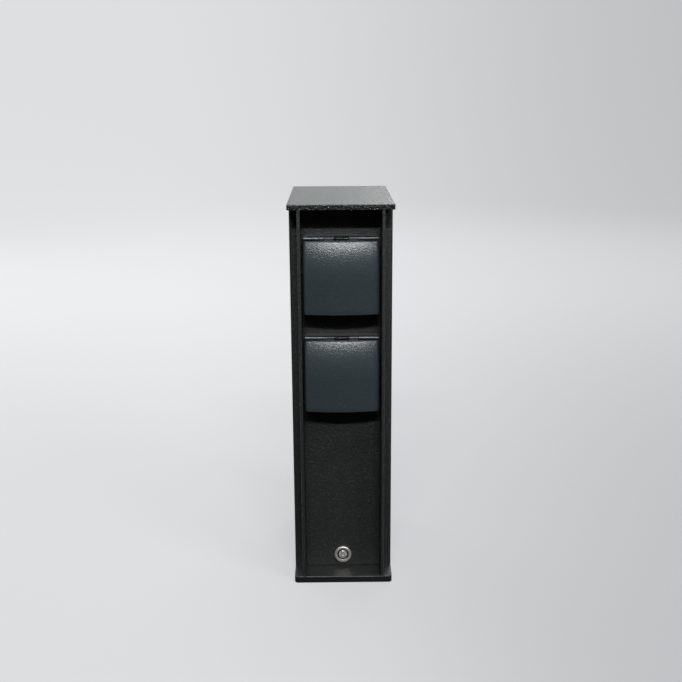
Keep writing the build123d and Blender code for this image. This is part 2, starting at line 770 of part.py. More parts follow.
def make_frame(level, bottom, well_z):
    hinge_z = bottom + lid_height + hinge_above_lid
    hinge_y = panel_y - hinge_proud
    lip_low = hinge_z + knuckle_radius + knuckle_sweep
    frame_low = bottom + frame_show_below
    frame_high = lip_low + frame_lip_thickness
    flange_front = frame_seal_thickness + frame_flange
    screws = [(x, z) for x in (-frame_screw_x, frame_screw_x) for z in (-frame_screw_z, frame_screw_z)]

    with BuildPart() as frame:
        with BuildSketch(facing(frame_seal_thickness)):
            with Locations((0, (frame_low + frame_high) / 2)):
                RectangleRounded(frame_width, frame_high - frame_low, frame_corner)
        extrude(amount=frame_flange)
        fillet(frame.faces().sort_by(Axis.Y)[0].edges(), small_round)
        with BuildSketch(Plane.YZ.offset(-frame_width / 2 + frame_corner)):
            with Locations((panel_y - frame_seal_thickness - small_round, lip_low)):
                Rectangle(
                    frame_lip_reach - frame_seal_thickness - small_round,
                    frame_lip_thickness,
                    align=(Align.MAX, Align.MIN),
                )
        extrude(amount=frame_width - 2 * frame_corner)
        for start, end in hinge_spans(frame_knuckle_start, frame_width / 2):
            with BuildSketch(Plane.YZ.offset(start)):
                with Locations((hinge_y, hinge_z)):
                    Circle(knuckle_radius)
                    Rectangle(
                        hinge_proud - flange_front + small_round,
                        2 * knuckle_radius,
                        align=(Align.MIN, Align.CENTER),
                    )
                with Locations((panel_y - flange_front + small_round, hinge_z)):
                    Rectangle(
                        hinge_proud - flange_front + small_round,
                        knuckle_radius + knuckle_sweep + sliding_clearance,
                        align=(Align.MAX, Align.MIN),
                    )
            extrude(amount=end - start)
        with BuildSketch(facing(lid_reach, z=well_z)):
            Circle(well_radius + well_wall + sliding_clearance)
            with Locations(*screws):
                Circle(frame_screw_radius + sliding_clearance)
        extrude(amount=-lid_reach, mode=Mode.SUBTRACT)
        with BuildSketch(Plane.YZ.offset(-frame_width / 2 + 0.8)):
            with Locations((hinge_y, hinge_z)):
                Circle(hinge_pin_radius + running_clearance)
        extrude(amount=frame_width - 1.6, mode=Mode.SUBTRACT)
    save(frame, f"{level}_frame")

    with BuildPart() as frame_seal:
        with BuildSketch(facing(0)):
            with Locations((0, (frame_low + frame_high) / 2)):
                RectangleRounded(frame_width - 1, frame_high - frame_low - 1, frame_corner)
            with Locations((0, well_z)):
                Circle(well_collar_radius + sliding_clearance, mode=Mode.SUBTRACT)
                with Locations(*screws):
                    Circle(frame_screw_radius + sliding_clearance, mode=Mode.SUBTRACT)
        extrude(amount=frame_seal_thickness)
    save(frame_seal, f"{level}_frame_seal")

    place(
        pan_screw(
            frame_screw_head_radius, frame_screw_head_height, frame_screw_radius, frame_screw_length
        ),
        [facing(flange_front, x, well_z + z) for x, z in screws],
        f"{level}_frame_screws",
    )
    place(
        hex_nut(frame_nut_flats, frame_nut_height, frame_screw_radius + running_clearance),
        [behind(panel_back, x, well_z + z) for x, z in screws],
        f"{level}_frame_nuts",
    )

    with BuildPart() as hinge_pin:
        with BuildSketch(Plane.YZ.offset(-frame_width / 2 + 1)):
            with Locations((hinge_y, hinge_z)):
                Circle(hinge_pin_radius)
        extrude(amount=frame_width - 2)
        chamfer(hinge_pin.edges(), 0.2)
    save(hinge_pin, f"{level}_hinge_pin")

    # The closing spring is wound round the pin between the lid's knuckles: a sleeve stands for the coil.
    with BuildPart() as lid_spring:
        with BuildSketch(Plane.YZ.offset(-spring_half)):
            with Locations((hinge_y, hinge_z)):
                Circle(hinge_pin_radius + running_clearance + spring_wire)
                Circle(hinge_pin_radius + running_clearance, mode=Mode.SUBTRACT)
        extrude(amount=2 * spring_half)
    save(lid_spring, f"{level}_lid_spring")


def make_outlet(level, well_z):
    clip_out = well_radius + clip_thickness / 2 + sliding_clearance
    clip_in = clip_out - clip_thickness
    slot_in = clip_in - sliding_clearance
    slot_out = clip_out + 4 * sliding_clearance
    clip_back = insert_back + clip_back_step
    slot_half = clip_width / 2 + 2 * sliding_clearance

    with BuildPart() as insert:
        with BuildSketch(facing(well_rim_proud, z=well_z)):
            Circle(well_radius + well_wall)
        extrude(amount=-(well_rim_proud + insert_back))
        with BuildSketch(facing(0, z=well_z)):
            Circle(well_collar_radius)
        extrude(amount=frame_seal_thickness)
        with BuildSketch(facing(well_rim_proud, z=well_z)):
            Circle(well_radius)
            # Two ribs at the sides key the plug.
            with GridLocations(2 * well_radius, 1, 2, 1):
                Rectangle(key_rib_width, key_rib_height, mode=Mode.SUBTRACT)
        extrude(amount=-well_depth, mode=Mode.SUBTRACT)
        fillet(insert.faces().sort_by(Axis.Y)[0].edges().filter_by(GeomType.CIRCLE), small_round)
        with BuildSketch(facing(well_floor_proud, z=well_z)):
            with GridLocations(pin_spacing, 1, 2, 1):
                Circle(pin_hole_radius)
        extrude(amount=-well_floor, mode=Mode.SUBTRACT)
        with BuildSketch(facing(clip_front + 5 * sliding_clearance, z=well_z)):
            with GridLocations(1, slot_in + slot_out, 1, 2):
                Rectangle(2 * slot_half, slot_out - slot_in)
        extrude(amount=-(clip_front + 5 * sliding_clearance + insert_back), mode=Mode.SUBTRACT)
    save(insert, f"{level}_insert")

    # One bent strip: a leg at the top and bottom of the well, a bar behind its floor and a tail.
    with BuildPart() as earth_clip:
        with BuildSketch(Plane.YZ):
            with Locations((panel_y + (clip_back - clip_front) / 2, well_z)):
                with GridLocations(1, clip_in + clip_out, 1, 2):
                    Rectangle(clip_back + clip_front, clip_thickness)
            with Locations((panel_y + clip_back, well_z)):
                Rectangle(clip_thickness, 2 * clip_out, align=(Align.MAX, Align.CENTER))
            with Locations((panel_y + clip_back, well_z - terminal_screw_below)):
                Rectangle(clip_tail, clip_thickness, align=(Align.MIN, Align.CENTER))
        extrude(amount=clip_width / 2, both=True)
    save(earth_clip, f"{level}_earth_clip")

    with BuildPart() as socket_body:
        with BuildSketch(facing(-insert_back, z=well_z)):
            Circle(well_radius + well_wall)
        extrude(amount=-socket_body_depth)
        with BuildSketch(facing(-insert_back, z=well_z)):
            with GridLocations(pin_spacing, 1, 2, 1):
                Circle(contact_bore_radius + contact_wall + sliding_clearance)
        extrude(amount=-(contact_length + sliding_clearance), mode=Mode.SUBTRACT)
        with BuildSketch(facing(-insert_back, z=well_z)):
            Rectangle(2 * slot_half, 2 * slot_out)
        extrude(amount=-(clip_back - insert_back + sliding_clearance), mode=Mode.SUBTRACT)
        with BuildSketch(facing(-insert_back, z=well_z - terminal_screw_below)):
            Rectangle(2 * slot_half, clip_tail_slot)
        extrude(amount=-(clip_back - insert_back + clip_tail + sliding_clearance), mode=Mode.SUBTRACT)
        with BuildSketch(Plane.XY.offset(well_z - wire_entry_below)):
            with Locations((0, panel_y + wire_entry_depth)):
                with GridLocations(terminal_x, 1, 3, 1):
                    Circle(wire_radius + sliding_clearance)
        extrude(amount=-(well_radius + well_wall), mode=Mode.SUBTRACT)
        with BuildSketch(behind(socket_back, z=well_z - terminal_screw_below)):
            with GridLocations(terminal_x, 1, 3, 1):
                Circle(terminal_screw_radius + screw_clearance)
        extrude(amount=-(socket_back - wire_entry_depth), mode=Mode.SUBTRACT)
    save(socket_body, f"{level}_socket_body")

    with BuildPart() as contacts:
        with BuildSketch(facing(-insert_back - 0.1, z=well_z)):
            with GridLocations(pin_spacing, 1, 2, 1):
                Circle(contact_bore_radius + contact_wall)
        extrude(amount=-contact_length)
        with BuildSketch(facing(-insert_back - 0.1, z=well_z)):
            with GridLocations(pin_spacing, 1, 2, 1):
                Circle(contact_bore_radius)
        extrude(amount=-(contact_length - contact_floor), mode=Mode.SUBTRACT)
    save(contacts, f"{level}_contacts")

    place(
        pan_screw(
            terminal_screw_head_radius,
            terminal_screw_head_height,
            terminal_screw_radius,
            socket_back - wire_entry_depth - wire_radius - screw_clearance,
        ),
        [behind(socket_back, x, well_z - terminal_screw_below) for x in (-terminal_x, 0.0, terminal_x)],
        f"{level}_terminal_screws",
    )


for level, well_z in socket_levels.items():
    lid_bottom = well_z - well_above_lid_bottom
    make_frame(level, lid_bottom, well_z)
    make_lid(level, lid_bottom, well_z)
    make_outlet(level, well_z)
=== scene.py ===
from math import cos, pi, radians, sin

import bmesh
import bpy
import numpy as np
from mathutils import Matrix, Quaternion, Vector


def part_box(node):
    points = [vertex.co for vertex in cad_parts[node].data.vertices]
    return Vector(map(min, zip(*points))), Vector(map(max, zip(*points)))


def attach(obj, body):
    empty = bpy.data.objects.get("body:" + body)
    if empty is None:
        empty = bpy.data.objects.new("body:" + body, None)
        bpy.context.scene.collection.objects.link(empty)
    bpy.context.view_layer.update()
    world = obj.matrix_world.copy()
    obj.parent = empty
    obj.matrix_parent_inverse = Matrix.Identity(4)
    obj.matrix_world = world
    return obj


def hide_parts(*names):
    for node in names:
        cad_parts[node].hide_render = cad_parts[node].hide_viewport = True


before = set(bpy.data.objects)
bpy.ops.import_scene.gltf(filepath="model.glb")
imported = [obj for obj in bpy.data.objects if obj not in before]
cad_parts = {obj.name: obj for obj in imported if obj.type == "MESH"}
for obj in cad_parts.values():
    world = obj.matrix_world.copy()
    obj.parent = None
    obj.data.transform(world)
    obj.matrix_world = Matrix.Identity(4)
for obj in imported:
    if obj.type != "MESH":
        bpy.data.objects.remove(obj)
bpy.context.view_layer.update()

# ---- studio: camera, floor and lights ----
# A pale floor runs up into a pale back wall in one curve. The camera looks down at the post from
# the front, and one key light, high and nearly square to the front, throws the roof's shadow.

panel_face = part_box("service_panel")[0].y
camera_aside, camera_distance, camera_height = -0.0071, 0.9543, 0.509
camera_pitch, camera_yaw, camera_roll = radians(14.72), radians(0.39), radians(0.39)
camera = bpy.data.objects.new("camera", bpy.data.cameras.new("camera"))
camera.data.lens = 51.12
camera.data.sensor_width = 36.0
camera.data.clip_end = 50.0
camera.location = (camera_aside, panel_face - camera_distance, camera_height)
level_reach = cos(camera_pitch)
gaze = Vector((sin(camera_yaw) * level_reach, cos(camera_yaw) * level_reach, -sin(camera_pitch)))
camera.rotation_mode = "QUATERNION"
camera.rotation_quaternion = gaze.to_track_quat("-Z", "Y") @ Quaternion((0, 0, 1), -camera_roll)
bpy.context.scene.collection.objects.link(camera)
bpy.context.scene.camera = camera


def grid_faces(rows, cols, around):
    """Quads between neighbouring rows of a grid. With around, the last column joins the first."""
    row, col = np.meshgrid(np.arange(rows - 1), np.arange(cols if around else cols - 1), indexing="ij")
    here, above = row * cols, (row + 1) * cols
    following = (col + 1) % cols
    return np.stack([here + col, here + following, above + following, above + col], -1).reshape(-1, 4)


def shell(points, around=True):
    """A surface as (points, quads), from a rows x columns x 3 array of points."""
    rows, cols = points.shape[:2]
    return points.reshape(-1, 3), grid_faces(rows, cols, around)


def piece(name, shells, material, crease=35.0, merge=1e-6):
    """One object from several surfaces. Doubled points are merged, as at a pole, and faces turned out."""
    points = np.concatenate([s[0] for s in shells])
    starts = np.cumsum([0] + [len(s[0]) for s in shells[:-1]])
    quads = np.concatenate([s[1] + start for s, start in zip(shells, starts)])
    mesh = bpy.data.meshes.new(name)
    mesh.from_pydata(points.tolist(), [], quads.tolist())
    work = bmesh.new()
    work.from_mesh(mesh)
    bmesh.ops.remove_doubles(work, verts=work.verts, dist=merge)
    bmesh.ops.dissolve_degenerate(work, edges=work.edges, dist=merge)
    bmesh.ops.recalc_face_normals(work, faces=work.faces)
    work.to_mesh(mesh)
    work.free()
    mesh.polygons.foreach_set("use_smooth", np.ones(len(mesh.polygons), bool))
    mesh.set_sharp_from_angle(angle=radians(crease))
    mesh.materials.append(material)
    made = bpy.data.objects.new(name, mesh)
    bpy.context.scene.collection.objects.link(made)
    return made


def node_tree(material):
    """The material's nodes and links, cleared but for one Principled shader on the output."""
    material.use_nodes = True
    nodes = material.node_tree.nodes
    nodes.clear()
    shader = nodes.new("ShaderNodeBsdfPrincipled")
    out = nodes.new("ShaderNodeOutputMaterial")
    material.node_tree.links.new(shader.outputs["BSDF"], out.inputs["Surface"])
    return nodes, material.node_tree.links, shader


# The tent glows brighter on the left than on the right, and more where it climbs behind the post.
studio_white = bpy.data.materials.new("studio_white")
nodes, links, shader = node_tree(studio_white)
shader.inputs["Roughness"].default_value = 0.9
shader.inputs["Specular IOR Level"].default_value = 0.1
shader.inputs["Emission Strength"].default_value = 1.0
place = nodes.new("ShaderNodeTexCoord")
aside = nodes.new("ShaderNodeVectorMath")
aside.operation = "MULTIPLY_ADD"
aside.inputs[1].default_value = (1, 1, 0)
aside.inputs[2].default_value = (0, 1.1, 0)
heading = nodes.new("ShaderNodeVectorMath")
heading.operation = "NORMALIZE"
parts = nodes.new("ShaderNodeSeparateXYZ")
fall = nodes.new("ShaderNodeMapRange")
fall.inputs["From Min"].default_value = -0.20
fall.inputs["From Max"].default_value = 0.42
glow = nodes.new("ShaderNodeValToRGB")
glow.color_ramp.interpolation = "EASE"
glow.color_ramp.elements[0].color = (0.500, 0.505, 0.513, 1)
glow.color_ramp.elements[1].color = (0.280, 0.286, 0.299, 1)
cloud = nodes.new("ShaderNodeTexNoise")
cloud.inputs["Scale"].default_value = 0.7
tone = nodes.new("ShaderNodeValToRGB")
tone.color_ramp.elements[0].color = (0.097, 0.097, 0.098, 1)
tone.color_ramp.elements[1].color = (0.105, 0.105, 0.106, 1)
links.new(place.outputs["Object"], aside.inputs[0])
links.new(aside.outputs["Vector"], heading.inputs[0])
links.new(heading.outputs["Vector"], parts.inputs["Vector"])
links.new(parts.outputs["X"], fall.inputs["Value"])
links.new(fall.outputs["Result"], glow.inputs["Fac"])
height = nodes.new("ShaderNodeVectorMath")
height.operation = "DOT_PRODUCT"
height.inputs[1].default_value = (0, 0.4, 1.0)
lift = nodes.new("ShaderNodeMapRange")
lift.interpolation_type = "SMOOTHSTEP"
lift.inputs["From Min"].default_value = -0.14
lift.inputs["From Max"].default_value = 0.6
lift.inputs["To Max"].default_value = 0.175
raised = nodes.new("ShaderNodeVectorMath")
links.new(place.outputs["Object"], height.inputs[0])
links.new(height.outputs["Value"], lift.inputs["Value"])
links.new(glow.outputs["Color"], raised.inputs[0])
links.new(lift.outputs["Result"], raised.inputs[1])
links.new(raised.outputs["Vector"], shader.inputs["Emission Color"])
links.new(place.outputs["Object"], cloud.inputs["Vector"])
links.new(cloud.outputs["Fac"], tone.inputs["Fac"])
links.new(tone.outputs["Color"], shader.inputs["Base Color"])

# The tent: a round floor, a quarter circle and an upright wall, swung round the post.
tent_radius, tent_curve, tent_height = 4.5, 1.4, 5.0
floor_rings = [0.0, 0.4, 1.2]
curve_rows, tent_sides = 24, 96
turn = np.linspace(0, pi / 2, curve_rows)
curve_r = tent_radius - tent_curve + tent_curve * np.sin(turn)
curve_z = tent_curve - tent_curve * np.cos(turn)
out_r = np.concatenate([floor_rings, curve_r, [tent_radius]])[:, None]
out_z = np.concatenate([np.zeros(len(floor_rings)), curve_z, [tent_height]])[:, None]
swing = np.linspace(0, 2 * pi, tent_sides, endpoint=False)
tent_points = np.stack(np.broadcast_arrays(out_r * np.cos(swing), out_r * np.sin(swing), out_z), -1)
backdrop = piece("studio_tent", [shell(tent_points)], studio_white)
backdrop.visible_diffuse = False
backdrop.visible_glossy = False
backdrop.visible_shadow = False


def lamp(name, place, aim, energy, width, height):
    """An oblong light of the given watts at a place, turned to shine at aim."""
    data = bpy.data.lights.new(name, "AREA")
    data.shape = "RECTANGLE"
    data.energy = energy
    data.size = width
    data.size_y = height
    made = bpy.data.objects.new(name, data)
    made.location = place
    made.rotation_mode = "QUATERNION"
    made.rotation_quaternion = (Vector(aim) - Vector(place)).to_track_quat("-Z", "Y")
    bpy.context.scene.collection.objects.link(made)


# The key is a wide, low strip, so a bright band lies right across each lid's brow. The brow light and
# the right fill also hang above the slope of the roof's shadow, so that the shadow stays dark.
key_rise = radians(41.0)
key_reach, key_aside, key_aim_height = 5.0, 0.15, 0.33
key_place = (
    key_aside,
    panel_face - key_reach * cos(key_rise),
    key_aim_height + key_reach * sin(key_rise),
)
lamp("key_light", key_place, (0, panel_face, key_aim_height), 355.0, width=2.8, height=0.22)
lamp("top_light", (0.0, -0.10, 1.9), (0, -0.05, 0), 4.0, width=1.3, height=0.9)
lamp("brow_light", (0.1, -0.62, 1.70), (0, -0.08, 0.30), 12.0, width=1.7, height=0.25)
lamp("right_fill", (1.0, -0.9, 1.25), (0, -0.06, 0.20), 16.0, width=0.5, height=0.6)
lamp("back_light", (1.0, 2.2, 1.5), (0, 0, 0.2), 26.0, width=1.4, height=1.0)
lamp("back_fill", (-1.6, 1.6, 1.0), (0, 0, 0.2), 14.0, width=1.2, height=1.4)

# The room is bright behind the post and dark behind the camera.
world = bpy.data.worlds.new("studio")
bpy.context.scene.world = world
world.use_nodes = True
nodes, links = world.node_tree.nodes, world.node_tree.links
heading = nodes.new("ShaderNodeTexCoord")
parts = nodes.new("ShaderNodeSeparateXYZ")
room = nodes.new("ShaderNodeMapRange")
room.inputs["From Min"].default_value = -0.1
room.inputs["From Max"].default_value = 0.8
tone = nodes.new("ShaderNodeValToRGB")
tone.color_ramp.interpolation = "EASE"
tone.color_ramp.elements[0].color = (0.020, 0.022, 0.025, 1)
tone.color_ramp.elements[1].color = (0.90, 0.96, 0.95, 1)
links.new(heading.outputs["Generated"], parts.inputs["Vector"])
links.new(parts.outputs["Y"], room.inputs["Value"])
links.new(room.outputs["Result"], tone.inputs["Fac"])
links.new(tone.outputs["Color"], nodes["Background"].inputs["Color"])
bpy.context.scene.view_settings.view_transform = "Standard"

# ---- roof plate ----
# A flat steel plate with softened edges, coated all over with black powder that cures to a fine
# orange-peel texture. It stands out a little past the sides and keeps the rain off the post.


def make_fine_texture():
    """Noise plus smooth cells give the height, the noise's peaks the flecks, and wide noise the cloud."""
    tree = bpy.data.node_groups.new("fine_texture", "ShaderNodeTree")
    tree.interface.new_socket(name="Grain Scale", in_out="INPUT", socket_type="NodeSocketFloat")
    for name in ("Height", "Flecks", "Cloud"):
        tree.interface.new_socket(name=name, in_out="OUTPUT", socket_type="NodeSocketFloat")
    nodes, links = tree.nodes, tree.links
    given = nodes.new("NodeGroupInput")
    out = nodes.new("NodeGroupOutput")
    place = nodes.new("ShaderNodeTexCoord")
    cells = nodes.new("ShaderNodeTexNoise")
    cells.inputs["Detail"].default_value = 2.0
    cells.inputs["Roughness"].default_value = 0.65
    pits = nodes.new("ShaderNodeTexVoronoi")
    pits.feature = "SMOOTH_F1"
    coarser = nodes.new("ShaderNodeMath")
    coarser.operation = "MULTIPLY"
    coarser.inputs[1].default_value = 0.7
    mix = nodes.new("ShaderNodeMath")
    mix.operation = "ADD"
    fleck = nodes.new("ShaderNodeMapRange")
    fleck.inputs["From Min"].default_value = 0.56
    fleck.inputs["From Max"].default_value = 0.72
    cloud = nodes.new("ShaderNodeTexNoise")
    cloud.inputs["Scale"].default_value = 9.0
    cloud.inputs["Detail"].default_value = 3.0
    links.new(place.outputs["Object"], cells.inputs["Vector"])
    links.new(place.outputs["Object"], pits.inputs["Vector"])
    links.new(place.outputs["Object"], cloud.inputs["Vector"])
    links.new(given.outputs["Grain Scale"], cells.inputs["Scale"])
    links.new(given.outputs["Grain Scale"], coarser.inputs[0])
    links.new(coarser.outputs[0], pits.inputs["Scale"])
    links.new(cells.outputs["Fac"], mix.inputs[0])
    links.new(pits.outputs["Distance"], mix.inputs[1])
    links.new(cells.outputs["Fac"], fleck.inputs["Value"])
    links.new(mix.outputs[0], out.inputs["Height"])
    links.new(fleck.outputs["Result"], out.inputs["Flecks"])
    links.new(cloud.outputs["Fac"], out.inputs["Cloud"])
    return tree


fine_texture = make_fine_texture()


def colour_mix(nodes, links, factor, low, high):
    """A colour that runs from low to high as the factor goes from 0 to 1."""
    ramp = nodes.new("ShaderNodeValToRGB")
    ramp.color_ramp.elements[0].color = (*low, 1)
    ramp.color_ramp.elements[1].color = (*high, 1)
    links.new(factor, ramp.inputs["Fac"])
    return ramp.outputs["Color"]


def number_mix(nodes, links, factor, low, high):
    """A number that runs from low to high as the factor goes from 0 to 1."""
    span = nodes.new("ShaderNodeMapRange")
    span.inputs["To Min"].default_value = low
    span.inputs["To Max"].default_value = high
    links.new(factor, span.inputs["Value"])
    return span.outputs["Result"]


def grained(name, dark, light, rough_low, rough_high, grain, depth, metal=0.0, specular=0.5):
    """A finely textured finish: flecked colour, uneven gloss and a bump of the given depth in metres."""
    material = bpy.data.materials.new(name)
    nodes, links, shader = node_tree(material)
    texture = nodes.new("ShaderNodeGroup")
    texture.node_tree = fine_texture
    texture.inputs["Grain Scale"].default_value = grain
    colour = colour_mix(nodes, links, texture.outputs["Flecks"], dark, light)
    roughness = number_mix(nodes, links, texture.outputs["Cloud"], rough_low, rough_high)
    links.new(colour, shader.inputs["Base Color"])
    links.new(roughness, shader.inputs["Roughness"])
    bump = nodes.new("ShaderNodeBump")
    bump.inputs["Distance"].default_value = depth
    links.new(texture.outputs["Height"], bump.inputs["Height"])
    links.new(bump.outputs["Normal"], shader.inputs["Normal"])
    shader.inputs["Metallic"].default_value = metal
    shader.inputs["Specular IOR Level"].default_value = specular
    return material


def dress(material, *names):
    """Gives CAD nodes a material through their slots."""
    for name in names:
        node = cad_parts[name]
        for slot in node.material_slots:
            slot.material = material
        if not node.material_slots:
            node.data.materials.append(material)


roof_coat = grained(
    "roof_coat", (0.0035, 0.0038, 0.0040), (0.022, 0.023, 0.024), 0.30, 0.38,
    grain=620.0, depth=0.0005, specular=0.62,
)
dress(roof_coat, "roof_plate")

# ---- base plate, casing and fins ----
# The base is a thick plate with a softened edge, drilled for anchors and the supply cable. The
# casing is one folded sheet, and a flat fin stands at each side of the recess. All are powder coated.

powder_coat = grained(
    "powder_coat", (0.0050, 0.0053, 0.0055), (0.027, 0.028, 0.029), 0.42, 0.50,
    grain=760.0, depth=0.00026, specular=0.6,
)
# Painted shade: the base's copy of the coat is darker and less glossy, standing in for the shade on the
# base's top in the recess.
base_coat_painted_shade = grained(
    "base_coat_painted_shade", (0.0040, 0.0043, 0.0046), (0.011, 0.012, 0.013), 0.40, 0.48,
    grain=700.0, depth=0.0002, specular=0.4,
)
dress(powder_coat, "rear_casing", "left_fin", "right_fin")
dress(base_coat_painted_shade, "base_plate")

# ---- service panel, its seat and hooks ----
# The panel is a coated sheet that hangs on two welded hooks over a coated seat. It comes out once
# the lock at its foot is turned.

dress(powder_coat, "service_panel", "panel_seat", "panel_hooks")

# ---- lids ----
# Each lid is one satin anthracite moulding with a fine spark-eroded grain, domed both ways. Its
# straight lower edge stands out for a finger, and its top drops into a shallow trough behind the
# brow, clear of the hinge. A round rib inside carries the seal, and two knuckles turn on the pin.

lid_plastic = grained(
    "lid_plastic", (0.017, 0.0225, 0.026), (0.029, 0.036, 0.040), 0.26, 0.30,
    grain=1000.0, depth=0.00012, specular=0.28,
)
lid_plan_radius = 0.183
lid_swell = 0.092
lid_swell_angle = radians(24.5)
lid_brow = 0.0033
lid_corner = 0.003
lid_edge = 0.0012
lid_foot_edge = 0.0005
lid_wall = 0.002
hinge_proud = 0.008
hinge_drop = 0.0013
trough_depth, trough_near, trough_far = 0.0009, 0.0103, 0.0116
knuckle_radius = 0.0017
knuckle_spans = ((0.0075, 0.0165), (-0.0165, -0.0075))
rib_in, rib_out, rib_face = 0.0206, 0.0238, 0.0113
well_above_foot = 0.0363
foot_rows, swell_rows, brow_rows, closing_rows = 7, 25, 14, 24
side_points, corner_points, front_points, roll_points = 5, 8, 22, 3


def lid_profile(low, high, reach):
    """(height, proud) of each row: an upright line, a long arc leaning back, and the brow's short arc."""
    straight = high - low - lid_swell * sin(lid_swell_angle) - lid_brow * (1 - sin(lid_swell_angle))
    foot = np.linspace(lid_foot_edge, straight, foot_rows + 1)[:-1]
    lean = np.linspace(0, lid_swell_angle, swell_rows + 1)[:-1]
    brow = np.linspace(lid_swell_angle, pi / 2, brow_rows)
    top_of_swell = straight + lid_swell * sin(lid_swell_angle)
    back_of_swell = lid_swell * (1 - cos(lid_swell_angle))
    height = np.concatenate([
        foot,
        straight + lid_swell * np.sin(lean),
        top_of_swell + lid_brow * (np.sin(brow) - sin(lid_swell_angle)),
    ])
    fall = np.concatenate([
        0 * foot,
        lid_swell * (1 - np.cos(lean)),
        back_of_swell + lid_brow * (cos(lid_swell_angle) - np.cos(brow)),
    ])
    return low + height, reach - fall


def lid_outline(proud, half_width, rear):
    """(x, proud) along each row: side wall, corner arc, shallow front arc, and the same mirrored."""
    proud, half_width = np.asarray(proud)[:, None], np.asarray(half_width)[:, None]
    centre = proud - lid_plan_radius
    inner = half_width - lid_corner
    corner_proud = centre + np.sqrt((lid_plan_radius - lid_corner) ** 2 - inner**2)
    finish = np.arctan2(corner_proud - centre, inner)
    side = np.linspace(0, 1, side_points + 1)[None, :-1]
    side_x = np.broadcast_to(half_width, (len(proud), side.shape[1]))
    side_proud = rear + side * (corner_proud - rear)
    bend = finish * np.linspace(0, 1, corner_points + 1)[None, :-1]
    front = finish + (pi / 2 - finish) * np.linspace(0, 1, front_points)[None, :]
    corner_x, corner_y = inner + lid_corner * np.cos(bend), corner_proud + lid_corner * np.sin(bend)
    front_x, front_y = lid_plan_radius * np.cos(front), centre + lid_plan_radius * np.sin(front)
    half_x = np.concatenate([side_x, corner_x, front_x], 1)
    half_proud = np.concatenate([side_proud, corner_y, front_y], 1)
    return (
        np.concatenate([half_x, -half_x[:, -2::-1]], 1),
        np.concatenate([half_proud, half_proud[:, -2::-1]], 1),
    )


def lid_shell(low, high, width, reach, rear):
    """The outside: rows climb the profile, and at foot and top they shrink to the rear edge's middle.

    The height is capped in the trough by a slope from the brow's height down to the trough's floor.
    """
    height, proud = lid_profile(low, high, reach)
    near_top = np.clip(height - (high - lid_edge), 0, lid_edge)
    half_width = width / 2 - (lid_edge - np.sqrt(lid_edge**2 - near_top**2))
    roll = np.linspace(0, pi / 2, roll_points + 1)[:-1]
    height = np.concatenate([low + lid_foot_edge * (1 - np.cos(roll)), height])
    proud = np.concatenate([reach - lid_foot_edge * (1 - np.sin(roll)), proud])
    half_width = np.concatenate([width / 2 - lid_foot_edge * (1 - np.sin(roll)), half_width])
    x, p = lid_outline(proud, half_width, rear)
    shrink = np.linspace(0, 1, closing_rows + 1)[:-1, None]
    x = np.concatenate([shrink * x[:1], x, shrink[::-1] * x[-1:]])
    p = np.concatenate([rear + shrink * (p[:1] - rear), p, rear + shrink[::-1] * (p[-1:] - rear)])
    z = np.concatenate([np.full(len(shrink), low), height, np.full(len(shrink), high)])
    drop = trough_depth * np.clip((trough_far - p) / (trough_far - trough_near), 0, 1)
    z = np.minimum(z[:, None], high - drop)
    return np.stack([x, panel_face - p, z], -1)


def bar(outline, start, finish, edge=0.0003):
    """A bar along X with the closed (y, z) outline, its ends cut back by edge and closed to the middle."""
    outline = np.asarray(outline)
    middle = outline.mean(0)
    cut = 1 - edge / np.linalg.norm(outline - middle, axis=1).mean()
    rows = (
        (start, 0.0), (start, cut), (start + edge, 1.0),
        (finish - edge, 1.0), (finish, cut), (finish, 0.0),
    )
    loops = [
        np.column_stack([np.full(len(outline), x), middle + share * (outline - middle)])
        for x, share in rows
    ]
    return shell(np.stack(loops))


def knuckle_outline(y, z, radius, foot):
    """Half circle over the hinge axis, with straight cheeks down to foot below it."""
    sweep = np.linspace(0, pi, 24)
    over = np.column_stack([y + radius * np.cos(sweep), z + radius * np.sin(sweep)])
    down = np.array([[y - radius, z - foot], [y + radius, z - foot]])
    return np.concatenate([over, down])


def ring(inner, outer, low, high, axis_x, axis_z, count=96):
    """A square-edged ring round an axis parallel to Y. low and high say how far proud its faces lie."""
    angle = np.linspace(0, 2 * pi, count, endpoint=False)
    rows = []
    for radius, face in ((inner, low), (outer, low), (outer, high), (inner, high), (inner, low)):
        x, z = axis_x + radius * np.cos(angle), axis_z + radius * np.sin(angle)
        rows.append(np.stack([x, panel_face - face(x, z), z], -1))
    return shell(np.stack(rows))


for level in ("upper", "lower"):
    low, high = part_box(f"{level}_lid")
    top = high.z - hinge_drop - knuckle_radius
    reach, rear = panel_face - low.y, panel_face - high.y
    outside = shell(lid_shell(low.z, top, high.x - low.x, reach, rear), around=False)
    moulding = piece(f"{level}_lid_moulding", [outside], lid_plastic)
    wall = moulding.modifiers.new("wall", "SOLIDIFY")
    wall.thickness = lid_wall
    wall.offset = -1.0
    wall.use_even_offset = True
    heights, prouds = lid_profile(low.z, top, reach)

    def under_front(x, z, heights=heights, prouds=prouds):
        """Half way into the front wall: the profile at height z, less the plan arc's fall at x."""
        arc_fall = lid_plan_radius - np.sqrt(lid_plan_radius**2 - x**2)
        return np.interp(z, heights, prouds) - arc_fall - lid_wall / 2

    hinge_y, hinge_z = panel_face - hinge_proud, top + hinge_drop
    inside = [ring(rib_in, rib_out, lambda x, z: rib_face + 0 * x, under_front, 0.0, low.z + well_above_foot)]
    knuckle_foot = hinge_drop + trough_depth + lid_wall / 2
    outline = knuckle_outline(hinge_y, hinge_z, knuckle_radius, knuckle_foot)
    inside += [bar(outline, *span) for span in knuckle_spans]
    fittings = piece(f"{level}_lid_rib_and_knuckles", inside, lid_plastic)
    for made in (moulding, fittings):
        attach(made, f"{level}_lid")
        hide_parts(f"{level}_lid")
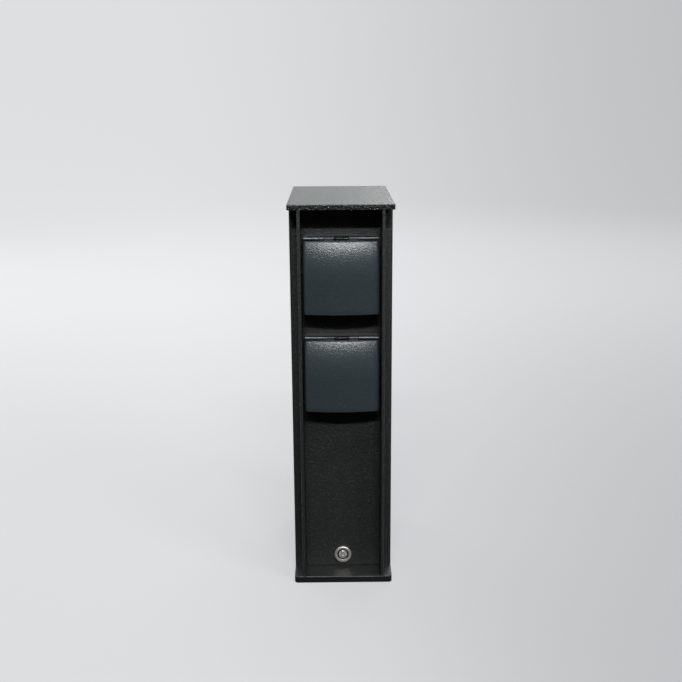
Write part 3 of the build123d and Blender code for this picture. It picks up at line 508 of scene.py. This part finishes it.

# ---- hinge pins and closing springs ----
# A thin near-black steel pin runs through each hinge. The closing spring is near-black steel wire
# wound round the pin between the lid's knuckles, under the frame's lip.

pin_steel = grained(
    "pin_steel", (0.05, 0.05, 0.05), (0.09, 0.09, 0.09), 0.3, 0.42,
    grain=2200.0, depth=0.00001, metal=1.0,
)
black_wire = grained(
    "black_wire", (0.008, 0.008, 0.009), (0.016, 0.016, 0.018), 0.42, 0.55,
    grain=2500.0, depth=0.00001, specular=0.25,
)
wire_radius = 0.00025
wire_turns, steps_per_turn, wire_sides = 11, 28, 10


def coil(half_length, radius, wire, turns, y, z):
    """Helix along X: a circle of the wire's radius follows the line (x, y + r cos t, z + r sin t)."""
    t = np.linspace(0, 2 * pi * turns, steps_per_turn * turns)
    x = np.linspace(-half_length + wire, half_length - wire, len(t))
    line = np.stack([x, y + radius * np.cos(t), z + radius * np.sin(t)], -1)
    along = np.gradient(line, axis=0)
    along /= np.linalg.norm(along, axis=1)[:, None]
    out = np.stack([0 * t, np.cos(t), np.sin(t)], -1)
    side = np.cross(along, out)
    turn = np.linspace(0, 2 * pi, wire_sides, endpoint=False)[None, :, None]
    tube = line[:, None] + wire * (np.cos(turn) * out[:, None] + np.sin(turn) * side[:, None])
    ends = np.broadcast_to(line[[0, -1], None], (2, tube.shape[1], 3))
    return np.concatenate([ends[:1], tube, ends[1:]])


dress(pin_steel, "upper_hinge_pin", "lower_hinge_pin")
for level in ("upper", "lower"):
    low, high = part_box(f"{level}_lid_spring")
    middle = (low + high) / 2
    wound = coil(high.x, (high.z - low.z) / 2 - wire_radius, wire_radius, wire_turns, middle.y, middle.z)
    spring = piece(f"{level}_closing_spring", [shell(wound)], black_wire, crease=60.0)
    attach(spring, "pedestal")
    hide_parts(f"{level}_lid_spring")

# ---- socket frames and seals ----
# Each frame is a satin anthracite moulding screwed to the panel over a soft flat seal. Its lip
# covers the hinge, and its knuckles hold the pin's ends. The lids' round seals are black rubber.

frame_plastic = grained(
    "frame_plastic", (0.018, 0.023, 0.027), (0.028, 0.036, 0.041), 0.33, 0.41,
    grain=1100.0, depth=0.00012, specular=0.6,
)
rubber = grained(
    "rubber", (0.009, 0.009, 0.009), (0.018, 0.018, 0.018), 0.7, 0.85,
    grain=1300.0, depth=0.00012, specular=0.3,
)
screw_steel = grained(
    "screw_steel", (0.50, 0.49, 0.47), (0.66, 0.65, 0.63), 0.20, 0.34,
    grain=2600.0, depth=0.00001, metal=1.0,
)
for level in ("upper", "lower"):
    dress(frame_plastic, f"{level}_frame")
    dress(rubber, f"{level}_lid_seal", f"{level}_frame_seal")
    dress(screw_steel, f"{level}_frame_screws")
dress(rubber, "panel_gasket", "cable_bushing")

# ---- socket inserts, contacts and bodies ----
# The wells are matt dark moulded plastic, with sprung zinc-plated earth strips above and below the
# plug and brass sleeves behind the pin holes. A pale grey body closes each socket at the back.

insert_plastic = grained(
    "insert_plastic", (0.018, 0.020, 0.022), (0.030, 0.033, 0.035), 0.45, 0.58,
    grain=1500.0, depth=0.00008,
)
body_plastic = grained(
    "body_plastic", (0.42, 0.42, 0.40), (0.50, 0.50, 0.48), 0.45, 0.6, grain=1200.0, depth=0.00006
)
zinc = grained(
    "zinc_plate", (0.46, 0.47, 0.50), (0.62, 0.62, 0.62), 0.28, 0.46,
    grain=700.0, depth=0.00003, metal=1.0,
)
brass = grained(
    "brass", (0.58, 0.40, 0.15), (0.75, 0.56, 0.26), 0.22, 0.38,
    grain=1500.0, depth=0.00002, metal=1.0,
)
for level in ("upper", "lower"):
    dress(insert_plastic, f"{level}_insert")
    dress(body_plastic, f"{level}_socket_body")
    dress(zinc, f"{level}_frame_nuts", f"{level}_earth_clip", f"{level}_terminal_screws")
    dress(brass, f"{level}_contacts")

# ---- lock ----
# A turned stainless housing with a dished face, held by a nut behind the panel. Its rounded
# triangular key post carries a plated cam that reaches behind the seat.

lock_low, lock_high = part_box("lock_housing")
lock_z = (lock_low.z + lock_high.z) / 2
# Width in metres of the soft edge of the painted shade in the lock's recess.
recess_shade_fade = 0.0003


def make_turned_steel(name, dark_within=0.0):
    """Stainless steel with a lathe's fine rings round the lock's axis, with painted shade: near-black within
    dark_within of the axis, in the recess.
    """
    material = bpy.data.materials.new(name)
    nodes, links, shader = node_tree(material)
    place = nodes.new("ShaderNodeTexCoord")
    centred = nodes.new("ShaderNodeVectorMath")
    centred.operation = "SUBTRACT"
    centred.inputs[1].default_value = (0, 0, lock_z)
    flat = nodes.new("ShaderNodeVectorMath")
    flat.operation = "MULTIPLY"
    flat.inputs[1].default_value = (1, 0, 1)
    length = nodes.new("ShaderNodeVectorMath")
    length.operation = "LENGTH"
    spread = nodes.new("ShaderNodeCombineXYZ")
    rings = nodes.new("ShaderNodeTexNoise")
    rings.inputs["Scale"].default_value = 2600.0
    rings.inputs["Detail"].default_value = 3.0
    bump = nodes.new("ShaderNodeBump")
    bump.inputs["Distance"].default_value = 0.00002
    links.new(place.outputs["Object"], centred.inputs[0])
    links.new(centred.outputs["Vector"], flat.inputs[0])
    links.new(flat.outputs["Vector"], length.inputs[0])
    links.new(length.outputs["Value"], spread.inputs["X"])
    links.new(spread.outputs["Vector"], rings.inputs["Vector"])
    links.new(rings.outputs["Fac"], bump.inputs["Height"])
    links.new(bump.outputs["Normal"], shader.inputs["Normal"])
    beyond_painted_shade = nodes.new("ShaderNodeMapRange")
    beyond_painted_shade.inputs["From Min"].default_value = dark_within - recess_shade_fade
    beyond_painted_shade.inputs["From Max"].default_value = dark_within
    links.new(length.outputs["Value"], beyond_painted_shade.inputs["Value"])
    # Painted shade: near the axis the steel is coloured near-black, standing in for the shade in the recess.
    painted_recess_shade = nodes.new("ShaderNodeMix")
    painted_recess_shade.data_type = "RGBA"
    painted_recess_shade.inputs["A"].default_value = (0.035, 0.034, 0.030, 1)
    bright = colour_mix(nodes, links, rings.outputs["Fac"], (0.52, 0.51, 0.48), (0.70, 0.69, 0.66))
    links.new(beyond_painted_shade.outputs["Result"], painted_recess_shade.inputs["Factor"])
    links.new(bright, painted_recess_shade.inputs["B"])
    links.new(painted_recess_shade.outputs["Result"], shader.inputs["Base Color"])
    links.new(number_mix(nodes, links, rings.outputs["Fac"], 0.42, 0.58), shader.inputs["Roughness"])
    shader.inputs["Metallic"].default_value = 1.0
    return material


# The housing's recess, within 6.4 mm of the axis, gets the painted shade.
dress(make_turned_steel("housing_steel", dark_within=0.0064), "lock_housing")
dress(make_turned_steel("spindle_steel"), "lock_spindle")
dress(zinc, "lock_nut", "lock_cam", "cam_screw")

# ---- fixings and supply side ----
# Zinc-plated angles and screws join the casing to its plates. Behind the panel stand a cable
# clamp, a slotted rail and three terminals, with brown, green and yellow, and blue wires.


band_scale, rough_spread = 0.16, 0.12


def make_striped(name, first, second, width, roughness):
    """Plastic in two colours, in slanted bands of about a given width in metres."""
    material = bpy.data.materials.new(name)
    nodes, links, shader = node_tree(material)
    place = nodes.new("ShaderNodeTexCoord")
    bands = nodes.new("ShaderNodeTexWave")
    bands.bands_direction = "DIAGONAL"
    bands.inputs["Scale"].default_value = band_scale / width
    bands.inputs["Distortion"].default_value = 0.1
    ramp = nodes.new("ShaderNodeValToRGB")
    ramp.color_ramp.elements[0].position = 0.48
    ramp.color_ramp.elements[1].position = 0.52
    ramp.color_ramp.elements[0].color = (*first, 1)
    ramp.color_ramp.elements[1].color = (*second, 1)
    texture = nodes.new("ShaderNodeGroup")
    texture.node_tree = fine_texture
    texture.inputs["Grain Scale"].default_value = 1500.0
    bump = nodes.new("ShaderNodeBump")
    bump.inputs["Distance"].default_value = 0.00003
    links.new(place.outputs["Object"], bands.inputs["Vector"])
    links.new(bands.outputs["Fac"], ramp.inputs["Fac"])
    links.new(ramp.outputs["Color"], shader.inputs["Base Color"])
    rough = number_mix(nodes, links, texture.outputs["Cloud"], roughness, roughness + rough_spread)
    links.new(rough, shader.inputs["Roughness"])
    links.new(texture.outputs["Height"], bump.inputs["Height"])
    links.new(bump.outputs["Normal"], shader.inputs["Normal"])
    return material


green, yellow = (0.03, 0.24, 0.04), (0.75, 0.56, 0.03)
clamp_plastic = grained(
    "clamp_plastic", (0.014, 0.014, 0.015), (0.028, 0.028, 0.030), 0.5, 0.65, grain=1300.0, depth=0.0001
)
terminal_grey = grained(
    "terminal_grey", (0.26, 0.27, 0.28), (0.34, 0.35, 0.36), 0.45, 0.6, grain=1300.0, depth=0.00005
)
terminal_blue = grained(
    "terminal_blue", (0.02, 0.08, 0.36), (0.04, 0.12, 0.46), 0.45, 0.6, grain=1300.0, depth=0.00005
)
wire_brown = grained(
    "wire_brown", (0.10, 0.035, 0.015), (0.14, 0.055, 0.025), 0.3, 0.42, grain=1600.0, depth=0.00003
)
wire_blue = grained(
    "wire_blue", (0.015, 0.05, 0.28), (0.03, 0.08, 0.36), 0.3, 0.42, grain=1600.0, depth=0.00003
)
dress(zinc, "base_angles", "roof_angles", "base_screws", "roof_screws")
dress(zinc, "clamp_bracket", "clamp_screws", "din_rail", "rail_nuts")
dress(clamp_plastic, "cable_clamp")
dress(terminal_grey, "line_terminal")
dress(terminal_blue, "neutral_terminal")
dress(make_striped("terminal_earth", green, yellow, 0.006, 0.45), "earth_terminal")
dress(wire_brown, "line_wires")
dress(wire_blue, "neutral_wires")
dress(make_striped("wire_earth", green, yellow, 0.004, 0.3), "earth_wires")
